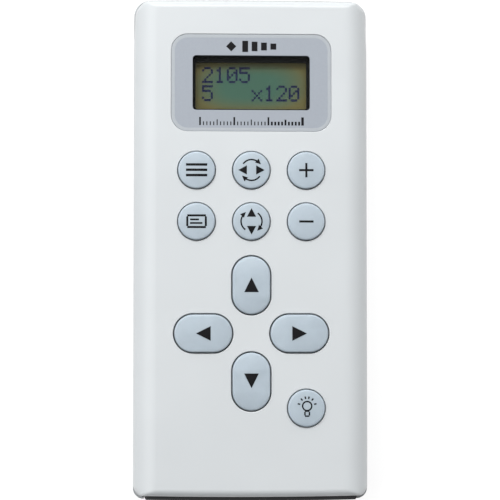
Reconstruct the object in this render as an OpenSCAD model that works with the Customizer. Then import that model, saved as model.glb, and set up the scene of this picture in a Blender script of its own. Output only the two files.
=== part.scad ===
// Hand controller for a motorised telescope mount: a two-part plastic case with a
// character display, eleven silicone keys and two sockets in its lower end.
// It lies on its rear face. +Z points out of the front face, +Y towards the display.
// The origin is in the middle of the rear face. Every size is in millimetres.

/* [Case] */
// Width across the long sides
case_w = 68.8; // [68.6:0.2:70]
// Length over the rear shell's two ends
case_l = 147.6; // [146.8:0.2:148]
// Thickness from the rear face to the front face
case_t = 25; // [25:0.2:27]
// Wall thickness of both shells
wall = 2.4; // [2.2:0.1:2.6]
// Round of the two long front edges
front_side_r = 7; // [5:0.5:8]
// Round of the two short front edges
front_end_r = 2.2; // [1:0.2:3]
// Round of the two long rear edges
rear_side_r = 8; // [5:0.5:8]
// Round of the two short rear edges
rear_end_r = 4; // [2:0.5:5]
// Round in plan of the two corners at the display end
display_corner_r = 5; // [4:0.5:6]
// Round in plan of the two corners at the socket end
socket_corner_r = 3; // [3:0.5:5]
// Radius of the gentle arch of the display end in plan
display_arch_r = 2400; // [2000:100:4000]
// Radius of the gentle arch of the socket end in plan
socket_arch_r = 1400; // [1000:100:3000]
// How far the rear shell's ends stand beyond the front shell's
end_step = 1.2; // [0.8:0.1:1.4]

/* [Keys] */
// Distance between the three key columns
key_pitch_x = 16; // [15.5:0.1:16.2]
// Distance between the two rows of round keys
key_pitch_y = 15; // [14.6:0.1:15.4]
// Middle of the upper row of round keys
key_row_y = 22.5; // [22.3:0.1:22.9]
// Middle of the four direction keys
pad_y = -25.1; // [-25.5:0.1:-25.1]
// Distance from there to each direction key's middle
pad_r = 14; // [13.8:0.1:14.4]
// Middle of the light key
light_key_y = -46.8; // [-47.3:0.1:-46.3]
// Diameter of a round key
round_key_d = 10.6; // [10:0.1:10.8]
// Width of a direction key
oval_key_w = 10.8; // [10.2:0.1:11]
// Length of a direction key
oval_key_l = 16.7; // [16:0.1:17]
// Gap between a round key and its hole
key_gap = 0.35; // [0.25:0.05:0.4]
// Gap between a direction key and its hole
oval_key_gap = 0.45; // [0.3:0.05:0.5]
// Height of a key's middle above the front face
key_proud = 1.2; // [0.8:0.1:1.6]
// How far a key travels
key_travel = 1.2; // [0.8:0.1:1.2]

/* [Display] */
// Width of the grey panel round the display
panel_w = 46.8; // [44:0.2:50]
// Height of that panel
panel_h = 28.5; // [26:0.1:30]
// Middle of the panel
panel_y = 48.2; // [47.4:0.1:49]
// Corner radius of the panel
panel_r = 4.8; // [2:0.2:6]
// Width of the opening in the panel
window_w = 34.2; // [33:0.1:36]
// Height of the opening in the panel
window_h = 15.9; // [15:0.1:17]
// Middle of the opening in the panel
window_y = 48.2; // [47.8:0.1:48.6]
// Width of the display area that shows
view_w = 32.6; // [31:0.1:32.8]
// Height of the display area that shows
view_h = 13.9; // [13:0.1:14.2]

/* [Sockets] */
// Middle of the nine-way mount socket
mount_port_x = -9.5; // [-10:0.1:-9]
// Middle of the six-way guide socket
guide_port_x = 18.5; // [18.2:0.1:19]
// Distance between the nine-way socket's two lock threads
lock_pitch = 24.99; // [24.99:0.01:25]
// Width of the black panel that holds both sockets
socket_panel_w = 62.2; // [61.4:0.1:62.4]

/* [Hidden] */
$fn = 64;
EPS = 0.01;
FAR = 200;
thread_gap = 0.02;
WHITE = "whitesmoke";
KEY_BLUE = "lightsteelblue";
GREY = "silver";
BLACK = [0.09, 0.09, 0.1];
CARBON = [0.16, 0.16, 0.17];
BOARD = "darkgreen";
STEEL = [0.75, 0.75, 0.78];
GOLD = "goldenrod";

// Heights, all measured down from the front face except the seam
seam_z = case_t - 8;
seam_gap = 0.3;
front_inner_z = case_t - wall;
front_l = case_l - 2 * end_step;
lip_t = 1.1;
lip_h = 1.1;
fit_gap = 0.1;
arch_steps = 8;
seam_break = 0.3;
skin_break = 0.5;
inner_break = 0.8;
inner_corner_cut = 0.6;
sink = 0.3;
screw_clearance = 0.25;
case_bore_top = case_t - 3.2;
board_bore_top = case_t - 3;
display_bore_l = 4.6;

board_t = 1.6;
board_top = case_t - 6.6;
board_bottom = board_top - board_t;
board_w = 50.4;
board_low_y = -66.2;
board_high_y = 31.4;

mat_t = 1.2;
mat_w = 49.2;
mat_low_y = -55.2;
mat_high_y = 31.4;
mat_top = board_top + mat_t;
rib_t = 0.9;
rib_below_row = 7.9;
side_rib_x = 16.5;
side_rib_w = 15;
side_rib_drop = 11;

// Keys
pill_t = 0.5;
pill_r = 2.6;
pill_z = board_top + key_travel + 0.05;
key_z = pill_z + pill_t;
key_edge_r = 0.9;
key_crown_r = 45;
web_t = 0.45;
web_reach = 1.55;
web_gap = 0.05;
web_foot = 0.5;
web_shoulder = 0.25;
collar_t = 0.9;
collar_z = case_t - 3.8;
rim_chamfer = 0.35;
light_key_x = key_pitch_x;
second_row_y = key_row_y - key_pitch_y;
oval_run = oval_key_l - oval_key_w;

// Name, x, y, radius of the ends, straight run, turn about Z
KEYS = [
    ["mount_key", -key_pitch_x, key_row_y, round_key_d / 2, 0, 0],
    ["reverse_x_key", 0, key_row_y, round_key_d / 2, 0, 0],
    ["plus_key", key_pitch_x, key_row_y, round_key_d / 2, 0, 0],
    ["display_key", -key_pitch_x, second_row_y, round_key_d / 2, 0, 0],
    ["reverse_y_key", 0, second_row_y, round_key_d / 2, 0, 0],
    ["minus_key", key_pitch_x, second_row_y, round_key_d / 2, 0, 0],
    ["up_key", 0, pad_y + pad_r, oval_key_w / 2, oval_run, 0],
    ["left_key", -pad_r, pad_y, oval_key_w / 2, oval_run, 90],
    ["right_key", pad_r, pad_y, oval_key_w / 2, oval_run, 90],
    ["down_key", 0, pad_y - pad_r, oval_key_w / 2, oval_run, 0],
    ["light_key", light_key_x, light_key_y, round_key_d / 2, 0, 0],
];

// Display stack, from the panel down to its board
panel_t = 0.8;
panel_drop = 0.15;
panel_bottom = case_t - panel_drop - panel_t;
lens_w = 38;
lens_h = 19.6;
lens_t = 1.1;
lens_bottom = panel_bottom - lens_t;
display_boss_t = 1.9;
gasket_bottom = lens_bottom - 2.1;
recess_gap = 0.15;
lens_r = 1;
boss_rim = 2.5;
boss_rim_y = 2;
opening_gap = 0.3;
view_r = 0.6;
view_y = window_y - 0.6;
lcd_y = view_y;
lcd_frame_w = 48.6;
lcd_frame_h = 25;
lcd_frame_t = 0.4;
lcd_glass_t = 2.2;
lcd_light_t = 2.4;
lcd_glass_top = gasket_bottom - lcd_frame_t;
lcd_light_top = lcd_glass_top - lcd_glass_t;
lcd_board_top = lcd_light_top - lcd_light_t;
lcd_board_t = 1.2;
lcd_board_bottom = lcd_board_top - lcd_board_t;
lcd_board_w = 58;
lcd_board_h = 31;

// Fasteners
case_screws_at = [[-25, 66.8], [25, 66.8], [-28.7, -62], [28.7, -62]];
board_screws_at = [[-8, 15], [8, 15], [-16, -8.3], [16, -8.3], [-16, -42.9], [8, -58.5]];
display_screws_at = [for (x = [-26.8, 26.8], y = [-12.8, 12.8]) [x, lcd_y + y]];
case_boss_r = 2.9;
case_shank_r = 1.25;
small_shank_r = 0.95;
board_hole_r = 1.15;
head_seat_z = 10;
head_well_r = 2.6;
small_boss_r = 2.4;
display_boss_r = 2;
screw_tip = 0.8;

// Panel round both sockets
panel_face_y = -case_l / 2;
plate_low_z = 3.6;
plate_high_z = 21.6;
plate_corner_r = 5;
plate_gap = 0.15;
plate_high_r = 0.8;
plate_plan_r = 1.6;
flange_t = 1.2;
flange_grow = 0.6;
flange_low = 1;
flange_rise = 0.4;
flange_high_r = front_side_r - wall - 1;
rim_setback = 1.45;
opening_depth = 6;
bay_w = 32;
bay_h = 11.4;
bay_wall = 1.1;

// Nine-way socket
dsub_flange_y = -67;
dsub_z = board_bottom - 6.4;
dsub_flange_w = 30.8;
dsub_flange_h = 12.5;
dsub_flange_t = 0.5;
dsub_shell_w = 16.9;
dsub_shell_h = 8.4;
dsub_shell_t = 0.4;
dsub_corner_r = 2.4;
dsub_slant = 10;
dsub_shell_l = 5.9;
dsub_block_l = 7;
dsub_leg_y = dsub_flange_y + 8.2;
pin_r = 0.5;
pin_pitch = 2.77;
pin_row = 2.84;
pin_hole_gap = 0.1;
jack_nut_flat = 4.75;
jack_nut_l = 4.8;
jack_thread_r = 1.2;
jack_stud_r = 1.45;
jack_stud_l = 6;

// Six-way socket
rj_w = 13.2;
rj_h = 11.7;
rj_l = 15;
rj_face_y = panel_face_y + 0.5;
rj_low_z = board_bottom - rj_h;
rj_mouth_w = 9.9;
rj_mouth_h = 6.9;
rj_mouth_l = 12.5;
rj_latch_w = 6.3;
rj_latch_h = 2;
rj_mouth_z = rj_low_z + 3.2;
rj_pitch = 1.02;
rj_peg_y = rj_face_y + 11;
rj_peg_x = 5;
rj_peg_r = 1.5;
wire_t = 0.45;
wire_hole_r = 0.45;

// Label on the rear
label_w = 40;
label_h = 24;
label_y = 14;
label_t = 0.3;
label_recess = 0.45;
label_r = 1.5;
label_gap = 0.2;

// Parts on the main board's underside: middles in plan, then sizes
chip_y = -12;
regulator_at = [16, -30];
capacitors_x = [-14, -20];
capacitors_y = -30;
capacitor_r = 2.5;
capacitor_h = 5.4;
crystal_y = -26;
crystal_h = 3.5;

CASE_NODES = [
    "front_shell", "rear_shell", "socket_panel", "display_panel", "display_window", "display_gasket",
    "lcd_frame", "lcd_glass", "lcd_backlight", "lcd_elastomers", "lcd_board", "lcd_ribbon",
    "main_board", "processor", "voltage_regulator", "board_components", "keypad_mat",
    "mount_port_shell", "mount_port_insulator", "mount_port_pins", "mount_port_jack_nuts",
    "guide_port_housing", "guide_port_contacts", "case_screws", "board_screws",
    "display_screws", "rear_label",
];

// ---------- shared shapes ----------

// A rectangle with its four corners rounded by true arcs
module round_rect(size, r) {
    square([size.x, size.y - 2 * r], center = true);
    square([size.x - 2 * r, size.y], center = true);
    for (x = [-1, 1], y = [-1, 1])
        translate([x * (size.x / 2 - r), y * (size.y / 2 - r)]) circle(r);
}

// A plate with rounded corners, centred on (0, y), from z0 to z1
module round_plate(w, h, r, y, z0, z1) {
    translate([0, y, z0]) linear_extrude(z1 - z0) round_rect([w, h], r);
}

// A box from w and y limits and z limits, centred on x
module slab(x, w, y0, y1, z0, z1) {
    translate([x - w / 2, y0, z0]) cube([w, y1 - y0, z1 - z0]);
}

// What a corner of radius r loses: a square less its quarter circle, pointing to +X +Y
module corner_waste(r) {
    difference() {
        square(r + EPS);
        circle(r);
    }
}

// A section w wide from z0 to z1, with lower and upper corners rounded
module section(w, z0, z1, r_low, r_high) {
    difference() {
        translate([-w / 2, z0]) square([w, z1 - z0]);
        for (side = [0, 1]) mirror([side, 0]) {
            translate([w / 2 - r_high, z1 - r_high]) corner_waste(r_high);
            translate([w / 2 - r_low, z0 + r_low]) mirror([0, 1]) corner_waste(r_low);
        }
    }
}

// What lies under a flat arch of radius r that tops out at y, in short straight steps
module under_arch(w, y, r) {
    turn = asin(w / 2 / r) / arch_steps;
    polygon(concat([[w / 2, 0], [-w / 2, 0]],
        [for (i = [-arch_steps:arch_steps]) [r * sin(i * turn), y - r + r * cos(i * turn)]]));
}

// The case's outline in plan; inset is how far it lies inside the outer skin
module plan(w, l, inset) {
    intersection() {
        union() {
            under_arch(w + 1, l / 2, display_arch_r);
            mirror([0, 1]) under_arch(w + 1, l / 2, socket_arch_r);
        }
        union() {
            translate([-w / 2, 0]) square([w, l / 2 - display_corner_r + inset]);
            corner_pair(w, l / 2, display_corner_r - inset);
            mirror([0, 1]) {
                translate([-w / 2, 0]) square([w, l / 2 - socket_corner_r + inset]);
                corner_pair(w, l / 2, socket_corner_r - inset);
            }
        }
    }
}

// The band along an end at y, with both its corners rounded; it runs on past the arch
module corner_pair(w, y, r) {
    translate([r - w / 2, y - r - 1]) square([w - 2 * r, r + 2]);
    for (side = [-1, 1]) translate([side * (w / 2 - r), y - r]) circle(r);
}

// A case body: the plan, the cross section and the long section together
module case_body(w, l, inset, z0, z1, side_low, side_high, end_low, end_high) {
    intersection() {
        translate([0, 0, z0]) linear_extrude(z1 - z0) plan(w, l, inset);
        rotate([90, 0, 0]) linear_extrude(l + 2, center = true)
            section(w, z0, z1, side_low, side_high);
        rotate([90, 0, 90]) linear_extrude(w + 2, center = true)
            section(l, z0, z1, end_low, end_high);
    }
}

// Sweeps a half section (its x is the distance from the middle line) round a key's outline
module swept(run) {
    if (run == 0)
        rotate_extrude() children();
    else {
        for (side = [0, 180]) rotate([0, 0, side]) translate([0, run / 2, 0])
            rotate_extrude(angle = 180) children();
        rotate([90, 0, 0]) linear_extrude(run, center = true) {
            children();
            mirror([1, 0]) children();
        }
    }
}

module at_key(k) {
    translate([k[1], k[2], 0]) rotate([0, 0, k[5]]) children();
}

module at_all(places) {
    for (p = places) translate([p.x, p.y, 0]) children();
}

// An upright cylinder from z0 to z1
module post(r, z0, z1) {
    translate([0, 0, z0]) cylinder(r = r, h = z1 - z0);
}

// A screw driven upwards: pan head below z, shank above it, cross recess
module screw(head_r, head_h, shank_r, z, length) {
    difference() {
        union() {
            post(head_r, z - head_h, z);
            post(shank_r, z, z + length - screw_tip);
            translate([0, 0, z + length - screw_tip]) cylinder(r1 = shank_r, r2 = 0.3, h = screw_tip);
        }
        for (turn = [0, 90]) rotate([0, 0, turn])
            translate([-head_r * 0.6, -head_r * 0.13, z - head_h - EPS])
                cube([head_r * 1.2, head_r * 0.26, head_h * 0.6]);
    }
}

// ---------- case ----------

// The hollow inside both shells, w by l, down to floor_z
module hollow(floor_z, top_z, low_r, high_r) {
    case_body(case_w - 2 * wall, front_l - 2 * wall, wall - inner_corner_cut, floor_z, top_z,
        low_r, high_r, inner_break, inner_break);
}

// Radius of the ends of a key's hole
function hole_r(k) = k[3] + (k[4] > 0 ? oval_key_gap : key_gap);

module key_hole(k) {
    r = hole_r(k);
    at_key(k) swept(k[4]) polygon([
        [0, collar_z - 1], [r, collar_z - 1], [r, case_t - rim_chamfer],
        [r + 2 * rim_chamfer, case_t + rim_chamfer], [0, case_t + rim_chamfer],
    ]);
}

module key_collar(k) {
    r = hole_r(k);
    at_key(k) swept(k[4])
        translate([r - sink, collar_z])
            square([collar_t + sink, front_inner_z - collar_z + sink]);
}

// Ribs that hold the keypad mat down on the board
module mat_ribs() {
    side_rib_y = pad_y - side_rib_drop;
    for (y = [mat_high_y - rib_t, second_row_y - rib_below_row, mat_low_y])
        slab(0, mat_w - 1, y, y + rib_t, mat_top, front_inner_z + sink);
    for (side = [-1, 1])
        slab(side * side_rib_x, side_rib_w, side_rib_y, side_rib_y + rib_t,
            mat_top, front_inner_z + sink);
}

// The front shell as one skin: open below, with a step for the rear shell's lip
module front_skin() {
    edge = wall - lip_t - fit_gap;
    difference() {
        case_body(case_w, front_l, 0, seam_z - 10, case_t,
            skin_break, front_side_r, skin_break, front_end_r);
        hollow(seam_z - 12, front_inner_z, skin_break, front_side_r - wall);
        slab(0, FAR, -FAR / 2, FAR / 2, seam_z - 20, seam_z + seam_gap);
        translate([0, 0, seam_z]) linear_extrude(lip_h + fit_gap)
            plan(case_w - 2 * edge, front_l - 2 * edge, edge);
    }
}

module front_shell() {
    color(WHITE) difference() {
        union() {
            front_skin();
            for (k = KEYS) key_collar(k);
            mat_ribs();
            at_all(case_screws_at) post(case_boss_r, seam_z, front_inner_z + sink);
            at_all(board_screws_at) post(small_boss_r, board_top, front_inner_z + sink);
            at_all(display_screws_at) post(display_boss_r, lcd_board_top, front_inner_z + sink);
            round_plate(lens_w + 2 * boss_rim, lens_h + 2 * boss_rim_y, boss_rim_y, window_y,
                lens_bottom - display_boss_t, front_inner_z + sink);
        }
        for (k = KEYS) key_hole(k);
        round_plate(panel_w + 2 * recess_gap, panel_h + 2 * recess_gap, panel_r + recess_gap,
            panel_y, panel_bottom, case_t + 1);
        round_plate(lens_w + 2 * recess_gap, lens_h + 2 * recess_gap, lens_r + recess_gap,
            window_y, lens_bottom, case_t);
        round_plate(window_w + 2 * opening_gap, window_h + 2 * opening_gap, lens_r + recess_gap,
            window_y, gasket_bottom - 1, case_t);
        at_all(case_screws_at) post(case_shank_r + thread_gap, seam_z - 1, case_bore_top);
        at_all(board_screws_at) post(small_shank_r + thread_gap, board_top - 1, board_bore_top);
        at_all(display_screws_at)
            post(small_shank_r + thread_gap, 0, lcd_board_top + display_bore_l);
        socket_opening();
    }
}

// The hole through both shells' socket end that the socket panel fills
module socket_opening() {
    along(-FAR, panel_face_y + opening_depth)
        section(socket_panel_w + 2 * plate_gap, plate_low_z - plate_gap,
            plate_high_z + plate_gap, plate_corner_r + plate_gap, 1);
}

// Extrudes a drawing in x and z from y0 to y1
module along(y0, y1) {
    translate([0, y1, 0]) rotate([90, 0, 0]) linear_extrude(y1 - y0) children();
}

module rear_shell() {
    edge = wall - lip_t;
    color(WHITE) difference() {
        union() {
            case_body(case_w, case_l, 0, 0, seam_z, rear_side_r, seam_break,
                rear_end_r, seam_break);
            translate([0, 0, seam_z - 1]) linear_extrude(lip_h + 1)
                plan(case_w - 2 * edge, front_l - 2 * edge, edge);
        }
        difference() {
            hollow(wall, case_t, rear_side_r - wall, skin_break);
            at_all(case_screws_at) post(case_boss_r, 0, seam_z);
        }
        at_all(case_screws_at) {
            post(head_well_r, -1, head_seat_z);
            post(case_shank_r + screw_clearance, head_seat_z - 1, case_t);
            post(case_boss_r + fit_gap, seam_z, case_t);
        }
        socket_opening();
        round_plate(label_w + 2 * label_gap, label_h + 2 * label_gap, label_r + label_gap,
            label_y, -1, label_recess);
    }
}

// The black panel in the socket end: an arched plate, a rim behind the walls, and a
// bay for the nine-way socket
module socket_panel() {
    back_y = wall - front_l / 2 + rim_setback;
    color(BLACK) difference() {
        union() {
            intersection() {
                along(panel_face_y, back_y + EPS) section(socket_panel_w, plate_low_z,
                    plate_high_z, plate_corner_r, plate_high_r);
                linear_extrude(FAR)
                    plan(socket_panel_w, case_l, socket_corner_r - plate_plan_r);
            }
            along(back_y, back_y + flange_t) section(socket_panel_w + 2 * flange_grow,
                plate_low_z - flange_low, plate_high_z + flange_rise,
                plate_corner_r + 0.6, flange_high_r);
            slab(mount_port_x, bay_w + 2 * bay_wall, panel_face_y + 1, dsub_flange_y,
                dsub_z - bay_h / 2 - bay_wall, dsub_z + bay_h / 2 + bay_wall);
        }
        slab(mount_port_x, bay_w, -FAR, dsub_flange_y - bay_wall,
            dsub_z - bay_h / 2, dsub_z + bay_h / 2);
        along_dsub(dsub_flange_y - 3, dsub_flange_y + 1)
            square([dsub_shell_w + 0.6, dsub_shell_h + 0.6], center = true);
        lock_places() rotate([90, 0, 0])
            cylinder(r = jack_stud_r + 0.1, h = 2 * bay_wall + 4, center = true);
        slab(guide_port_x, rj_w + 0.4, -FAR, FAR, rj_low_z - 0.2, rj_low_z + rj_h + 0.2);
    }
}

module rear_label() {
    color(GREY) round_plate(label_w, label_h, label_r, label_y,
        label_recess - label_t, label_recess);
}

// ---------- display ----------

module display_panel() {
    color(GREY) difference() {
        round_plate(panel_w, panel_h, panel_r, panel_y, panel_bottom, case_t - panel_drop);
        round_plate(window_w, window_h, lens_r, window_y, panel_bottom - 1, case_t);
    }
}

module display_window() {
    color("lightcyan", 0.4)
        round_plate(lens_w, lens_h, lens_r, window_y, lens_bottom, panel_bottom);
}

module display_gasket() {
    color(BLACK) difference() {
        round_plate(window_w + 0.4, window_h + 0.4, lens_r, window_y, gasket_bottom, lens_bottom);
        round_plate(view_w, view_h, view_r, view_y, gasket_bottom - 1, case_t);
    }
}

module lcd_frame() {
    color(BLACK) difference() {
        slab(0, lcd_frame_w, lcd_y - lcd_frame_h / 2, lcd_y + lcd_frame_h / 2,
            lcd_board_top, gasket_bottom);
        slab(0, lcd_frame_w - 2 * lcd_frame_t, lcd_y - lcd_frame_h / 2 + lcd_frame_t,
            lcd_y + lcd_frame_h / 2 - lcd_frame_t, lcd_board_top - 1, lcd_glass_top);
        round_plate(view_w + 0.4, view_h + 0.4, view_r, lcd_y, lcd_glass_top - 1, case_t);
    }
}

module lcd_glass() {
    h = lcd_frame_h - 2;
    color([0.45, 0.52, 0.4]) {
        slab(0, lcd_frame_w - 2, lcd_y - h / 2, lcd_y + h / 2,
            lcd_light_top, lcd_light_top + lcd_glass_t / 2);
        slab(0, lcd_frame_w - 2, lcd_y - h / 2 + 1.2, lcd_y + h / 2 - 1.2,
            lcd_light_top + lcd_glass_t / 2, lcd_glass_top);
    }
}

module lcd_backlight() {
    color("ivory") {
        slab(0, 40, lcd_y - 8.4, lcd_y + 8.4, lcd_board_top + 0.2, lcd_light_top);
        for (x = [-21.2, 21.2]) slab(x, 1.6, lcd_y - 1.2, lcd_y + 1.2, lcd_board_top, lcd_light_top - 1);
    }
}

module lcd_elastomers() {
    color(CARBON) for (side = [-1, 1])
        slab(0, 44, lcd_y + side * 10.2 - 0.9, lcd_y + side * 10.2 + 0.9, lcd_board_top, lcd_light_top);
}

module lcd_board() {
    color(BOARD) difference() {
        slab(0, lcd_board_w, lcd_y - lcd_board_h / 2, lcd_y + lcd_board_h / 2,
            lcd_board_bottom, lcd_board_top);
        at_all(display_screws_at) post(board_hole_r, 0, case_t);
    }
}

// A flat ribbon in an S from the display board's underside to the main board's
module lcd_ribbon() {
    t = 0.3;
    low = lcd_board_bottom - t / 2;
    high = board_bottom - t / 2;
    r = (high - low) / 2;
    start_y = lcd_y - lcd_board_h / 2;
    color(GREY) translate([-10, 0, 0]) rotate([90, 0, 90]) linear_extrude(20) {
        translate([start_y, low - t / 2]) square([5, t]);
        intersection() {
            translate([start_y, low + r]) ring_2d(r - t / 2, r + t / 2);
            translate([start_y - r - t, low - t]) square([r + t, r + t]);
        }
        intersection() {
            translate([start_y - 2 * r, low + r]) ring_2d(r - t / 2, r + t / 2);
            translate([start_y - 2 * r, low + r]) square([r + t, r + t]);
        }
        translate([start_y - 2 * r - 5, high - t / 2]) square([5, t]);
    }
}

module ring_2d(r_in, r_out) {
    difference() {
        circle(r_out);
        circle(r_in);
    }
}

// ---------- boards ----------

// Pin places of the nine-way socket: x, z, and y of the upright leg
function pins() = concat(
    [for (i = [-2:2]) [mount_port_x + i * pin_pitch, dsub_z + pin_row / 2, dsub_leg_y]],
    [for (i = [-1.5:1:1.5])
        [mount_port_x + i * pin_pitch, dsub_z - pin_row / 2, dsub_leg_y + pin_row]]
);

// Wire places of the six-way socket: x, and y of the upright leg
function wires() = [for (i = [0:5])
    [guide_port_x + (i - 2.5) * rj_pitch, rj_face_y + rj_l + 0.7 + 1.8 * (i % 2)]];

module main_board() {
    color(BOARD) difference() {
        slab(0, board_w, board_low_y, board_high_y, board_bottom, board_top);
        at_all(board_screws_at) post(board_hole_r, 0, case_t);
        for (p = pins()) translate([p.x, p[2], 0]) post(pin_r + pin_hole_gap, 0, case_t);
        at_all(wires()) post(wire_hole_r, 0, case_t);
        rj_pegs(0.1);
    }
}

// The two pegs that hold the six-way socket in the board
module rj_pegs(grow) {
    for (side = [-1, 1]) translate([guide_port_x + side * rj_peg_x, rj_peg_y, 0])
        post(rj_peg_r + grow, board_bottom - 0.5, board_top + 0.5);
}

// A square chip on the board's underside, with legs on all four sides
module processor() {
    body = 12;
    legs = 12;
    pitch = 0.8;
    color(BLACK) translate([0, chip_y, board_bottom]) {
        translate([-body / 2, -body / 2, -1.6]) cube([body, body, 1.4]);
        for (turn = [0:90:270]) rotate([0, 0, turn])
            for (i = [0:legs - 1])
                translate([body / 2, (i - (legs - 1) / 2) * pitch - 0.15, -1]) {
                    cube([0.8, 0.3, 0.2]);
                    translate([0.6, 0, 0]) cube([0.2, 0.3, 1]);
                    translate([0.6, 0, 0.8]) cube([0.8, 0.3, 0.2]);
                }
    }
}

module voltage_regulator() {
    color(BLACK) translate([regulator_at.x, regulator_at.y, board_bottom - 2.3]) {
        cube([6.6, 6, 2.3]);
        translate([0.6, 6, 1.7]) cube([5.4, 1.6, 0.6]);
        for (x = [1, 2.9, 4.8]) translate([x, -2.6, 1.8]) cube([0.8, 2.6, 0.5]);
    }
}

// Small parts: two can capacitors, a crystal, a driver chip, chip resistors, key lamps
module board_components() {
    color(STEEL) {
        for (x = capacitors_x) translate([x, capacitors_y, 0])
            post(capacitor_r, board_bottom - capacitor_h, board_bottom);
        round_crystal();
        slab(-16, 3.9, 4, 14, board_bottom - 1.7, board_bottom);
        for (column = [0:2], row = [0:1])
            slab(10.6 + 2.2 * column, 1.2, 2 + 4 * row, 4 + 4 * row, board_bottom - 0.6, board_bottom);
        for (k = KEYS) at_key(k) slab(0, 1.6, 3.3, 4.1, board_top, board_top + 0.4);
    }
}

module round_crystal() {
    translate([0, crystal_y, board_bottom - crystal_h]) linear_extrude(crystal_h)
        round_rect([11, 4.4], 2.1);
}

// ---------- keypad ----------

module key_profile(r) {
    top = case_t + key_proud;
    edge_top = top - r * r / (2 * key_crown_r);
    intersection() {
        difference() {
            translate([0, key_z]) square([r, top - key_z]);
            translate([r - key_edge_r, edge_top - key_edge_r]) corner_waste(key_edge_r);
            translate([r - key_edge_r, edge_top]) square(key_edge_r + 1);
        }
        translate([0, top - key_crown_r]) circle(key_crown_r, $fn = 256);
    }
}

module key_cap(k) {
    color(KEY_BLUE) at_key(k) swept(k[4]) key_profile(k[3]);
}

module key_contact(k) {
    color(CARBON) at_key(k) post(pill_r, pill_z, key_z);
}

module key_web(k) {
    r = k[3] + web_gap;
    color(KEY_BLUE) at_key(k) swept(k[4]) polygon([
        [r, key_z], [r, key_z + web_t], [r + web_shoulder, key_z + web_t],
        [r + web_reach, mat_top + web_t * 0.4], [r + web_reach, mat_top],
        [r + web_reach - web_foot, mat_top],
    ]);
}

module keypad_mat() {
    color(KEY_BLUE) difference() {
        slab(0, mat_w, mat_low_y, mat_high_y, board_top, mat_top);
        for (k = KEYS) at_key(k) swept(k[4])
            translate([0, board_top - 1])
                square([k[3] + web_gap + web_reach - web_foot, mat_t + 2]);
        at_all(board_screws_at) post(small_boss_r + screw_clearance, 0, case_t);
    }
}

// ---------- nine-way socket ----------

// The D outline, shrunk by inset, drawn in x and z
module d_outline(inset) {
    r = dsub_corner_r - inset;
    y = dsub_shell_h / 2 - dsub_corner_r;
    top_x = dsub_shell_w / 2 - dsub_corner_r;
    low_x = top_x - 2 * y * tan(dsub_slant);
    hull() for (side = [-1, 1]) {
        translate([side * top_x, y]) circle(r, $fn = 32);
        translate([side * low_x, -y]) circle(r, $fn = 32);
    }
}

module along_dsub(y0, y1) {
    along(y0, y1) translate([mount_port_x, dsub_z]) children();
}

module lock_places() {
    for (side = [-1, 1])
        translate([mount_port_x + side * lock_pitch / 2, dsub_flange_y, dsub_z]) children();
}

// Bores for the two jack nuts' studs
module stud_holes() {
    lock_places() rotate([90, 0, 0])
        cylinder(r = jack_stud_r + thread_gap, h = 40, center = true);
}

module mount_port_shell() {
    color(STEEL) difference() {
        union() {
            along_dsub(dsub_flange_y, dsub_flange_y + dsub_flange_t)
                round_rect([dsub_flange_w, dsub_flange_h], 1.5);
            along_dsub(dsub_flange_y - dsub_shell_l, dsub_flange_y + EPS) d_outline(0);
        }
        along_dsub(dsub_flange_y - dsub_shell_l - 1, dsub_flange_y + 1) d_outline(dsub_shell_t);
        stud_holes();
    }
}

module mount_port_insulator() {
    block_y = dsub_flange_y + dsub_flange_t;
    color(BLACK) difference() {
        union() {
            along_dsub(dsub_flange_y - 0.6, block_y + EPS) d_outline(dsub_shell_t + 0.05);
            along_dsub(block_y, block_y + dsub_block_l) square([dsub_flange_w - 2, 11], center = true);
        }
        for (p = pins()) translate([p.x, 0, p.y]) rotate([90, 0, 0])
            cylinder(r = pin_r + thread_gap, h = FAR, center = true);
        stud_holes();
    }
}

// Nine round pins, each bent up through the board
module mount_port_pins() {
    tip_y = dsub_flange_y - 5;
    color(GOLD) for (p = pins()) translate([p.x, 0, p.y]) {
        translate([0, p[2], 0]) rotate([90, 0, 0]) cylinder(r = pin_r, h = p[2] - tip_y);
        translate([0, p[2], 0]) cylinder(r = pin_r, h = board_top + 0.8 - p.y);
        translate([0, p[2], 0]) sphere(pin_r);
        translate([0, tip_y, 0]) sphere(pin_r);
    }
}

// Two hexagon nuts in the bay, each with a stud that goes through the panel and flange
module mount_port_jack_nuts() {
    color(STEEL) lock_places() rotate([90, 0, 0]) difference() {
        union() {
            translate([0, 0, bay_wall]) cylinder(r = jack_nut_flat / sqrt(3), h = jack_nut_l, $fn = 6);
            translate([0, 0, -jack_stud_l])
                cylinder(r = jack_stud_r, h = jack_stud_l + bay_wall + EPS);
        }
        cylinder(r = jack_thread_r, h = 20);
    }
}

// ---------- six-way socket ----------

module guide_port_housing() {
    slot_w = wire_t + 0.17;
    color(CARBON) difference() {
        union() {
            slab(guide_port_x, rj_w, rj_face_y, rj_face_y + rj_l, rj_low_z, board_bottom);
            rj_pegs(0);
        }
        slab(guide_port_x, rj_mouth_w, rj_face_y - 1, rj_face_y + rj_mouth_l,
            rj_mouth_z, rj_mouth_z + rj_mouth_h);
        slab(guide_port_x, rj_latch_w, rj_face_y - 1, rj_face_y + 8,
            rj_mouth_z - rj_latch_h, rj_mouth_z + 1);
        for (p = wires()) slab(p.x, slot_w, rj_face_y + 1.5, rj_face_y + rj_l + 1,
            rj_mouth_z + rj_mouth_h - 0.1, board_bottom - 0.5);
    }
}

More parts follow.
